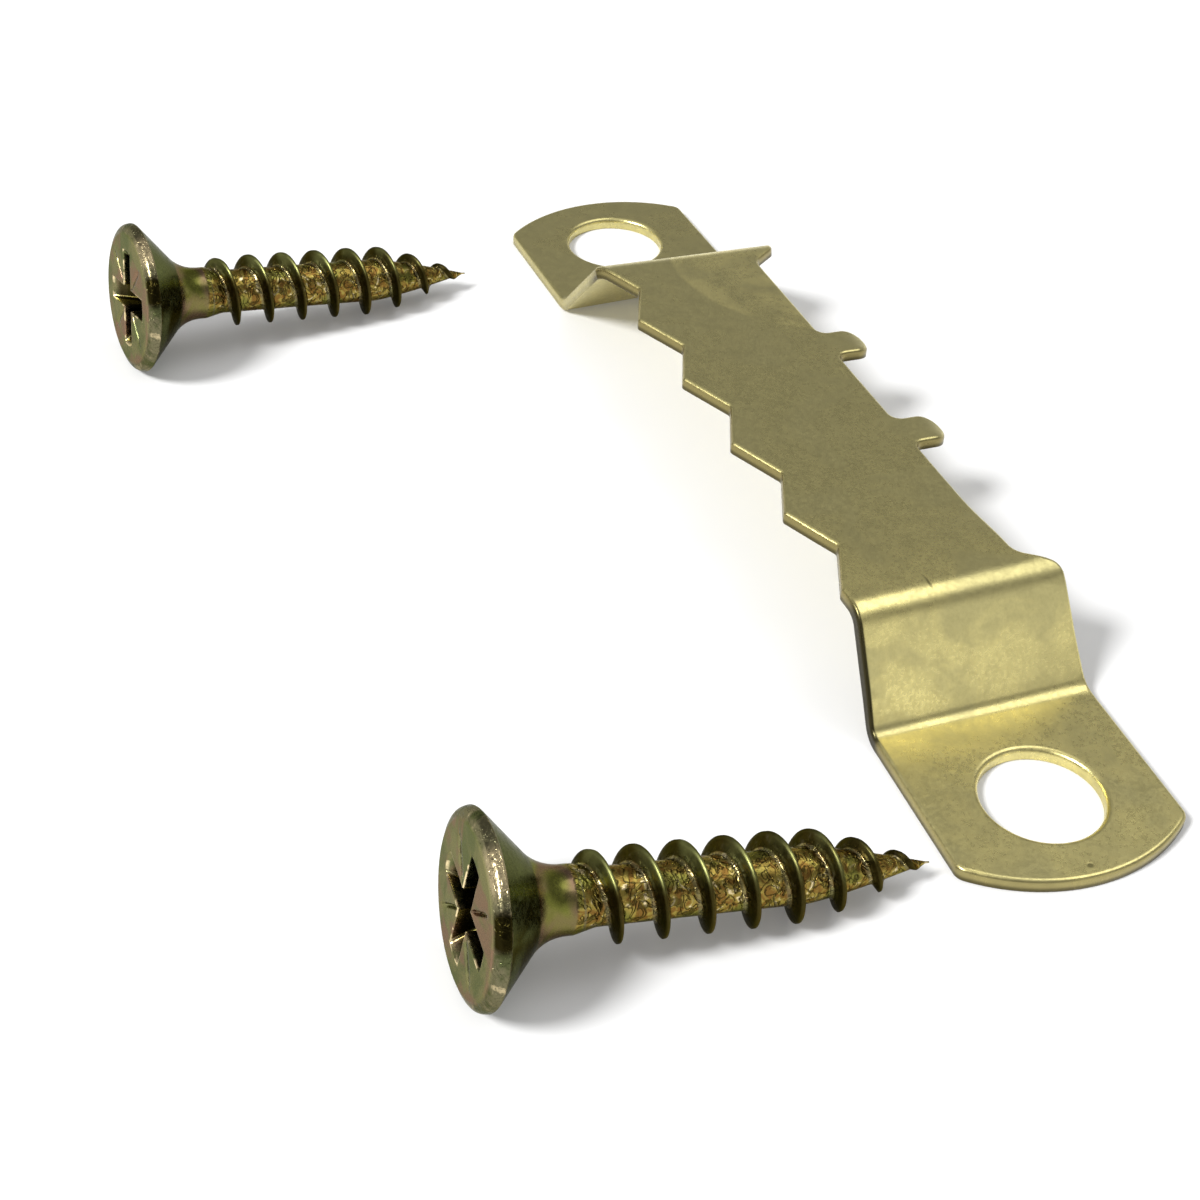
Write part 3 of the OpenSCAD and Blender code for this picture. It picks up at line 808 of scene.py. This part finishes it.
class Nodes:
    """Short hand for making shader nodes and joining them."""

    def __init__(self, tree):
        self.tree = tree

    def add(self, kind, **values):
        made = self.tree.nodes.new("ShaderNode" + kind)
        for key, value in values.items():
            setattr(made, key, value)
        return made

    def link(self, source, target):
        self.tree.links.new(source, target)

    def put(self, target, value):
        if isinstance(value, bpy.types.NodeSocket):
            self.link(value, target)
        else:
            target.default_value = value

    def fill(self, made, *first, **named):
        """Puts values into a node's first inputs, and into others by name, with _ for each space."""
        for key, value in enumerate(first):
            self.put(made.inputs[key], value)
        for key, value in named.items():
            self.put(made.inputs[key.replace("_", " ")], value)
        return made.outputs

    def math(self, operation, *values):
        return self.fill(self.add("Math", operation=operation), *values)[0]

    def times(self, first, *others):
        """Product of all the values."""
        for other in others:
            first = self.math("MULTIPLY", first, other)
        return first

    def remap(self, value, low, high, to_low=0.0, to_high=1.0):
        """Goes softly from one level to another while the value goes from low to high."""
        made = self.add("MapRange", interpolation_type="SMOOTHSTEP")
        self.fill(made, Value=value, From_Min=low, From_Max=high, To_Min=to_low, To_Max=to_high)
        return made.outputs["Result"]

    def noise(self, place, scale, detail=3.0, rough=0.5, distortion=0.0, offset=None):
        """Soft noise, of which an offset picks another part."""
        made = self.add("TexNoise")
        vector = self.shift(place, offset) if offset else place
        self.fill(made, Vector=vector, Scale=scale, Detail=detail, Roughness=rough, Distortion=distortion)
        return made.outputs["Fac"]

    def mix(self, factor, a, b):
        made = self.add("Mix", data_type="RGBA")
        # The two inputs for colours have the numbers 6 and 7
        for key, value in (("Factor", factor), (6, a), (7, b)):
            self.put(made.inputs[key], value)
        return made.outputs[2]

    def cover(self, base, colour, *shares):
        """Base colour under another one, as far as the product of the shares says."""
        return self.mix(self.times(*shares), base, colour)

    def vector(self, operation, *values):
        return self.fill(self.add("VectorMath", operation=operation), *values)

    def scale(self, vector, factors):
        return self.vector("MULTIPLY", vector, factors)[0]

    def shift(self, vector, offset):
        return self.vector("ADD", vector, offset)[0]

    def split(self, vector):
        return self.fill(self.add("SeparateXYZ"), vector)

    def here(self):
        """Place on the piece, in millimetres."""
        return self.scale(self.add("TexCoord").outputs["Object"], (1 / MM, 1 / MM, 1 / MM))

    def radial(self, place, middle=(0, 0, 0)):
        """Distance from an upright line through the middle."""
        return self.vector("DISTANCE", self.scale(place, (1, 1, 0)), middle)["Value"]

    def spot(self, place, centre, radius, soft):
        """Mask that is 1 within a radius of a place."""
        return self.remap(self.vector("DISTANCE", place, centre)["Value"], radius + soft, radius)

    def value_of(self, name):
        return self.add("Attribute", attribute_name=name).outputs["Fac"]

    def group(self, tree, **values):
        return self.fill(self.add("Group", node_tree=tree), **values)


def shared_group(name, inputs, outputs):
    """Node group with named inputs and outputs, and nothing between them yet."""
    tree = bpy.data.node_groups.new(name, "ShaderNodeTree")
    for key, kind, default in inputs:
        socket = tree.interface.new_socket(key, in_out="INPUT", socket_type="NodeSocket" + kind)
        if default is not None:
            socket.default_value = default
    for key, kind in outputs:
        tree.interface.new_socket(key, in_out="OUTPUT", socket_type="NodeSocket" + kind)
    given = tree.nodes.new("NodeGroupInput").outputs
    out = tree.nodes.new("NodeGroupOutput").inputs
    return Nodes(tree), given, out


def grain_group():
    """Fine grain of a plated surface: height, and a mask that varies with it."""
    n, given, out = shared_group(
        "Plating grain",
        [("Place", "Vector", None), ("Grain Scale", "Float", 9.0), ("Dimple Scale", "Float", 2.0)],
        [("Height", "Float"), ("Speck", "Float")],
    )
    fine = n.noise(given["Place"], given["Grain Scale"], 4.0, 0.65)
    dimple = n.noise(given["Place"], given["Dimple Scale"], 2.0, 0.5)
    n.link(n.math("ADD", n.times(fine, 0.4), n.times(dimple, 0.6)), out["Height"])
    n.link(n.remap(fine, 0.35, 0.7), out["Speck"])


def mottle_group():
    """Cloudy change between two colours."""
    n, given, out = shared_group(
        "Mottling",
        [
            ("Place", "Vector", None),
            ("Scale", "Float", 0.5),
            ("Low", "Float", 0.35),
            ("High", "Float", 0.65),
            ("Colour A", "Color", (1, 1, 1, 1)),
            ("Colour B", "Color", (0, 0, 0, 1)),
        ],
        [("Color", "Color"), ("Mask", "Float")],
    )
    cloud = n.noise(given["Place"], given["Scale"], 4.0, 0.55, 0.6)
    mask = n.remap(cloud, given["Low"], given["High"])
    n.link(n.mix(mask, given["Colour A"], given["Colour B"]), out["Color"])
    n.link(mask, out["Mask"])


def shared_groups():
    """The node groups that both metals use, built once."""
    if "Plating grain" not in bpy.data.node_groups:
        grain_group()
        mottle_group()
    return {"grain": bpy.data.node_groups["Plating grain"], "mottle": bpy.data.node_groups["Mottling"]}


def mottled(n, groups, place, scale, low, high, first, second):
    """Clouds that go from one colour to another while their noise goes from low to high."""
    values = {"Scale": scale, "Low": low, "High": high, "Colour_A": first, "Colour_B": second}
    return n.group(groups["mottle"], Place=place, **values)


def rgba(value, factor=1.0):
    return (value[0] * factor, value[1] * factor, value[2] * factor, 1.0)


def new_material(name):
    material = bpy.data.materials.new(name)
    material.use_nodes = True
    n = Nodes(material.node_tree)
    surface = next(node for node in material.node_tree.nodes if node.type == "BSDF_PRINCIPLED")
    return material, n, surface


def finish_metal(n, surface, base, rough, relief, strength, depth):
    """Joins a metal's colour, roughness and relief to its shader."""
    bump = n.fill(n.add("Bump"), Strength=strength, Distance=depth, Height=relief)
    n.fill(surface, Base_Color=base, Metallic=1.0, Roughness=rough, Normal=bump["Normal"])


def brass_material(s, groups):
    """Satin brass plating: grain, duller patches, small pits, dull cut faces, and painted shade at their foot
    and at the near ramp.
    """
    material, n, surface = new_material("Brass plating")
    place = n.here()
    axis = n.split(place)
    along = n.math("ABSOLUTE", axis["X"])
    grain = n.group(groups["grain"], Place=place, Grain_Scale=7.0, Dimple_Scale=1.2)
    mottle = mottled(n, groups, place, 0.28, 0.4, 0.62, rgba(s.brass), rgba(s.worn_brass))
    # The near end is brighter than the far end
    far = n.math("SUBTRACT", 1.0, n.remap(axis["X"], *BRIGHT_ZONE))
    base = n.cover(mottle["Color"], rgba(s.worn_brass), far, 0.6)
    base = n.cover(base, rgba(s.worn_brass, 0.6), grain["Speck"], 0.16)
    # Fine clouds over both tones
    clouds = n.noise(place, 1.6, 4.0, 0.62, 0.4)
    base = n.cover(base, rgba(s.worn_brass, 0.72), n.remap(clouds, 0.35, 0.68, 0.0, 0.3))
    # Lighter wiped patch on the far half, with a curved edge
    cloudy = n.remap(n.noise(place, 0.5), 0.35, 0.6)
    base = n.cover(base, rgba(s.brass, 1.15), n.spot(place, *WIPED_PATCH), cloudy, 0.55)
    # Small dark pits and a short scratch
    scratch = n.spot(n.scale(n.shift(place, SCRATCH_SHIFT), SCRATCH_SCALE), (0, 0, 0), *SCRATCH)
    pits = n.times(scratch, n.remap(axis["Z"], 3.4, 3.9))
    for centre, radius in PITS:
        pits = n.math("MAXIMUM", n.spot(place, centre, radius, PIT_EDGE), pits)
    base = n.cover(base, rgba(s.stain_and_shade), pits, 0.6)
    # The sheared cut face is duller than the plated faces, least at the ends and at the far ramp, and darkest
    # at its foot, next to the floor, where the dark is painted shade
    folded = n.fill(n.add("CombineXYZ"), along, axis["Y"])[0]
    outer = n.remap(n.radial(folded, (hole_place(s), 0, 0)), *HOLE_EDGE)
    brighter = n.remap(axis["X"], -11.0, -12.0, 1.0, 0.35)
    dull = n.times(n.remap(n.value_of("cut_face"), 0.55, 0.95), outer, brighter)
    base = n.cover(base, rgba(s.cut_face), dull, n.remap(along, 15.0, 16.5, 0.9, 0.7))
    # Painted shade on the lower part of the cut face
    base = n.cover(base, rgba(s.stain_and_shade), dull, n.remap(n.value_of("depth"), 0.55, 0.2), 0.7)
    # Painted shade on the notched side's cut face at the near ramp, and under it
    cut = n.times(n.remap(n.value_of("cut_face"), 0.25, 0.5), n.remap(axis["Y"], -3.7, -4.0))
    under = n.times(n.remap(n.value_of("depth"), 0.12, 0.02), 0.8)
    ramp = n.times(n.remap(axis["X"], *PAINTED_SHADE_START), n.remap(axis["X"], *PAINTED_SHADE_END))
    base = n.cover(base, rgba(s.stain_and_shade), n.math("MAXIMUM", cut, under), ramp, 0.93)
    rough = n.math("ADD", 0.25, n.times(grain["Speck"], 0.12))
    rough = n.math("ADD", rough, n.times(mottle["Mask"], 0.05))
    relief = n.math("SUBTRACT", grain["Height"], n.times(pits, 0.6))
    finish_metal(n, surface, base, rough, relief, strength=0.35, depth=0.00003)
    return material


def zinc_material(s, groups):
    """Yellow passivated zinc: iridescent patches, ridges darkened with painted shade, bright scuffed roots.
    """
    material, n, surface = new_material("Yellow passivated zinc")
    place = n.here()
    height = n.split(place)["X"]
    axial, ridge, side = n.value_of("axial"), n.value_of("ridge"), n.value_of("side")
    grain = n.group(groups["grain"], Place=place, Grain_Scale=6.0, Dimple_Scale=2.2)
    base = mottled(n, groups, place, 0.55, 0.42, 0.6, rgba(s.olive), rgba(s.moss))["Color"]
    shifted = n.shift(place, (13.0, 5.0, 2.0))
    base = mottled(n, groups, shifted, 0.5, 0.48, 0.62, base, rgba(s.rose))["Color"]
    # Scuffed rim, with dark worn patches, a painted highlight and a painted dark reflection
    rim = n.times(n.remap(n.radial(place), *FACE_EDGE), n.remap(axial, *RIM_ZONE))
    worn = n.noise(place, 1.1, 4.0, 0.6, offset=(4.0, 1.0, 7.0))
    rim_tone = n.mix(n.remap(worn, 0.38, 0.52), rgba(s.moss, 0.6), rgba(s.rim_zinc))
    scuffs = n.remap(n.noise(place, 2.3, 3.0, 0.6, offset=(1.0, 2.0, 6.0)), 0.54, 0.62)
    rim_tone = n.cover(rim_tone, rgba(s.bare_and_highlight, 0.55), scuffs, n.remap(worn, 0.48, 0.6))
    # The bright spot is a painted highlight, and the dark spot a painted dark reflection
    rim_tone = n.cover(rim_tone, rgba(s.bare_and_highlight, 0.42), n.spot(place, *PAINTED_RIM_HIGHLIGHT))
    rim_tone = n.cover(rim_tone, rgba(s.umber_and_shade, 0.5), n.spot(place, *PAINTED_RIM_DARK_REFLECTION))
    base = n.mix(rim, base, rim_tone)
    # Painted shade in a dark band under the rim, lighter in random patches and, as a painted reflection,
    # towards the lying screw's top and bottom; then the yellow green neck with rosy clouds
    tint = n.noise(place, 0.65, 2.0, 0.5, 0.5, offset=(2.0, 9.0, 1.0))
    painted_sheen = n.remap(n.math("ABSOLUTE", height), 0.7, 2.2)
    mossy = n.math("MAXIMUM", n.remap(tint, 0.46, 0.66), painted_sheen)
    base = n.mix(n.remap(axial, *CONE_ZONE), base, n.mix(mossy, rgba(s.umber_and_shade), rgba(s.moss, 0.75)))
    neck_tone = n.mix(n.remap(tint, 0.38, 0.62), rgba(s.neck_zinc), rgba(s.rose, 0.75))
    base = n.mix(n.remap(axial, *NECK_ZONE), base, neck_tone)
    # Thread root: gold and copper flakes parted by dark cracks
    threaded = n.remap(axial, *THREAD_ZONE)
    flakes = n.noise(place, 2.6, 2.0, 0.5, 1.2)
    root_tone = n.mix(n.remap(flakes, 0.4, 0.58), rgba(s.copper), rgba(s.gold))
    root_tone = n.mix(n.remap(flakes, 0.6, 0.72), root_tone, rgba(s.bare_and_highlight, 0.85))
    olive_part = n.noise(place, 1.0, 3.0, 0.5, offset=(6.0, 3.0, 5.0))
    root_tone = n.mix(n.remap(olive_part, 0.5, 0.62, 0.0, 0.8), root_tone, rgba(s.neck_zinc))
    wander = n.math("SUBTRACT", n.noise(place, 1.7, 2.0, 0.5, 1.5, offset=(3.0, 8.0, 4.0)), 0.5)
    cracks = n.remap(n.math("ABSOLUTE", wander), 0.045, 0.012)
    base = n.mix(threaded, base, n.cover(root_tone, rgba(s.umber_and_shade, 1.4), cracks, 0.8))
    # Ridge: painted shade on the lower side of its flank towards the head and of its crest, greenish above,
    # with a paler foot towards the head
    foot = n.times(n.remap(side, -0.26, -0.2), n.remap(side, -0.12, -0.16))
    base = n.cover(base, rgba(s.rim_zinc), foot, threaded, 0.6)
    flank = n.times(threaded, n.remap(ridge, 0.08, 0.2), n.remap(side, 0.0, -0.03))
    # Upper is 1 on the screw's top side as it lies; the dark tone below it is painted shade
    upper = n.remap(n.math("ADD", height, n.times(tint, 1.5)), 0.0, -0.9)
    base = n.cover(base, n.mix(upper, rgba(s.umber_and_shade, 0.6), rgba(s.crest_zinc, 0.8)), flank, 0.95)
    crest = n.times(threaded, n.remap(ridge, 0.72, 0.9))
    base = n.cover(base, n.mix(upper, rgba(s.umber_and_shade, 1.3), rgba(s.crest_zinc)), crest, 0.85)
    # Painted shade in the cross recess, and its bright chipped edge
    base = n.cover(base, rgba(s.umber_and_shade), n.value_of("recess"), n.remap(axial, 0.06, 0.3), 0.9)
    base = n.cover(base, rgba(s.bare_and_highlight), n.value_of("edge"), n.remap(n.noise(place, 1.6, 2.0), 0.48, 0.56))
    surface.inputs["Specular Tint"].default_value = (0.5, 0.5, 0.45, 1.0)
    rough = n.math("ADD", 0.2, n.times(grain["Speck"], 0.16))
    rough = n.math("ADD", rough, n.times(n.math("MAXIMUM", crest, flank), 0.16))
    # Dents between the flakes of the roots and in the scuffed rim
    scuffed = n.math("MAXIMUM", n.times(threaded, n.remap(ridge, 0.5, 0.2)), n.times(rim, 0.5))
    dents = n.math("SUBTRACT", flakes, n.times(cracks, 0.5))
    relief = n.math("ADD", n.times(grain["Height"], 0.1), n.times(scuffed, dents, 1.4))
    finish_metal(n, surface, base, rough, relief, strength=0.7, depth=0.00005)
    return material


# Studio


def floor_material(s):
    """Pale floor that keeps shadows and looks white to the eye and in the metal."""
    material, n, surface = new_material("Floor")
    path = n.add("LightPath").outputs
    seen = n.math("MAXIMUM", path["Is Camera Ray"], path["Is Glossy Ray"])
    seen = n.math("MAXIMUM", seen, path["Is Transmission Ray"])
    # Far from the lamps the floor fades to white instead of to grey
    glow = n.remap(n.radial(n.add("TexCoord").outputs["Object"]), *FLOOR_FADE, *FLOOR_GLOW)
    n.fill(surface, Base_Color=rgba(s.floor), Roughness=0.9, Specular_IOR_Level=0.0)
    n.fill(surface, Emission_Color=(1, 1, 1, 1), Emission_Strength=n.times(seen, glow))
    return material


def add_lamp(name, place, aim, size, power):
    lamp = bpy.data.lights.new(name, "AREA")
    lamp.shape = "DISK"
    lamp.size = size
    lamp.energy = power
    made = bpy.data.objects.new(name, lamp)
    made.location = place
    made.rotation_euler = (Vector(aim) - Vector(place)).to_track_quat("-Z", "Y").to_euler()
    bpy.context.scene.collection.objects.link(made)


def studio_world():
    """Soft surroundings: pale at the horizon, dim above it and brighter overhead."""
    world = bpy.data.worlds.new("Studio")
    bpy.context.scene.world = world
    world.use_nodes = True
    n = Nodes(world.node_tree)
    up = n.split(n.add("TexCoord").outputs["Generated"])["Z"]
    level = n.mix(n.remap(up, *HORIZON_ZONE), HORIZON_LEVEL, SKY_LEVEL)
    level = n.mix(n.remap(up, *ZENITH_ZONE), level, ZENITH_LEVEL)
    n.fill(world.node_tree.nodes["Background"], Color=level, Strength=1.0)


def add_camera(s):
    data = bpy.data.cameras.new("Camera")
    data.lens = s.lens
    data.sensor_width = SENSOR_WIDTH
    data.clip_start = CLIP_START
    data.clip_end = CLIP_END
    made = bpy.data.objects.new("Camera", data)
    turn = Matrix((CAMERA_RIGHT, -CAMERA_DOWN, -CAMERA_AHEAD)).transposed().to_4x4()
    made.matrix_world = Matrix.Translation(CAMERA_PLACE) @ turn
    bpy.context.scene.collection.objects.link(made)
    bpy.context.scene.camera = made


# Operators


class HANGER_OT_strap(bpy.types.Operator):
    """Build the stamped strap with its notches, nibs, holes and bends"""

    bl_idname = "hanger.strap"
    bl_label = "Strap"

    def execute(self, context):
        s = context.scene.strap_settings
        strap = build_strap(s, brass_material(s, shared_groups()))
        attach(strap, "hanger")
        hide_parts("hanger_plate")
        return {"FINISHED"}


class HANGER_OT_screws(bpy.types.Operator):
    """Build the two wood screws and lay them beside the strap"""

    bl_idname = "hanger.screws"
    bl_label = "Screws"

    def execute(self, context):
        s = context.scene.screw_settings
        hole_x = hole_place(context.scene.strap_settings)
        metal = zinc_material(s, shared_groups())
        near = build_screw("wood_screw_near", s, s.near_spin, s.near_recess_turn, metal)
        lay_screw(near, s, hole_x + s.near_head_offset / MM, s.near_gap / MM, s.near_yaw)
        far = build_screw("wood_screw_far", s, s.far_spin, s.far_recess_turn, metal)
        lay_screw(far, s, s.far_head_offset / MM - hole_x, s.far_gap / MM, s.far_yaw)
        for made, node in ((near, "near_screw"), (far, "far_screw")):
            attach(made, node + "_body")
            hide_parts(node)
        return {"FINISHED"}


class HANGER_OT_studio(bpy.types.Operator):
    """Build the floor, the soft lamps, the surroundings and the camera"""

    bl_idname = "hanger.studio"
    bl_label = "Studio"

    def execute(self, context):
        s = context.scene.studio_settings
        half = s.floor_size / MM / 2
        corners = [(-half, -half, 0), (half, -half, 0), (half, half, 0), (-half, half, 0)]
        floor = new_object("floor", corners, [(0, 1, 2, 3)], floor_material(s))
        for name, place, aim, size, power_key in LAMPS:
            add_lamp(name, place, aim, size, getattr(s, power_key))
        studio_world()
        add_camera(s)
        context.scene.view_settings.view_transform = "Standard"
        return {"FINISHED"}


class HANGER_PT_panel(bpy.types.Panel):
    """Buttons and sizes of the picture hanger"""

    bl_idname = "HANGER_PT_panel"
    bl_label = "Picture hanger"
    bl_space_type = "VIEW_3D"
    bl_region_type = "UI"
    bl_category = "Hanger"

    def draw(self, context):
        for operator in OPERATORS:
            self.layout.operator(operator.bl_idname)
        scene = context.scene
        for settings in (scene.strap_settings, scene.screw_settings, scene.studio_settings):
            box = self.layout.box()
            for key in settings.__annotations__:
                box.prop(settings, key)


OPERATORS = (HANGER_OT_strap, HANGER_OT_screws, HANGER_OT_studio)
CLASSES = (StrapSettings, ScrewSettings, StudioSettings) + OPERATORS + (HANGER_PT_panel,)


def register():
    for made in CLASSES:
        bpy.utils.register_class(made)
    scene = bpy.types.Scene
    scene.strap_settings = bpy.props.PointerProperty(type=StrapSettings)
    scene.screw_settings = bpy.props.PointerProperty(type=ScrewSettings)
    scene.studio_settings = bpy.props.PointerProperty(type=StudioSettings)


def unregister():
    scene = bpy.types.Scene
    del scene.strap_settings
    del scene.screw_settings
    del scene.studio_settings
    for made in reversed(CLASSES):
        bpy.utils.unregister_class(made)


def main():
    register()
    bpy.ops.hanger.studio()
    bpy.ops.hanger.strap()
    bpy.ops.hanger.screws()


if __name__ == "__main__":
    main()
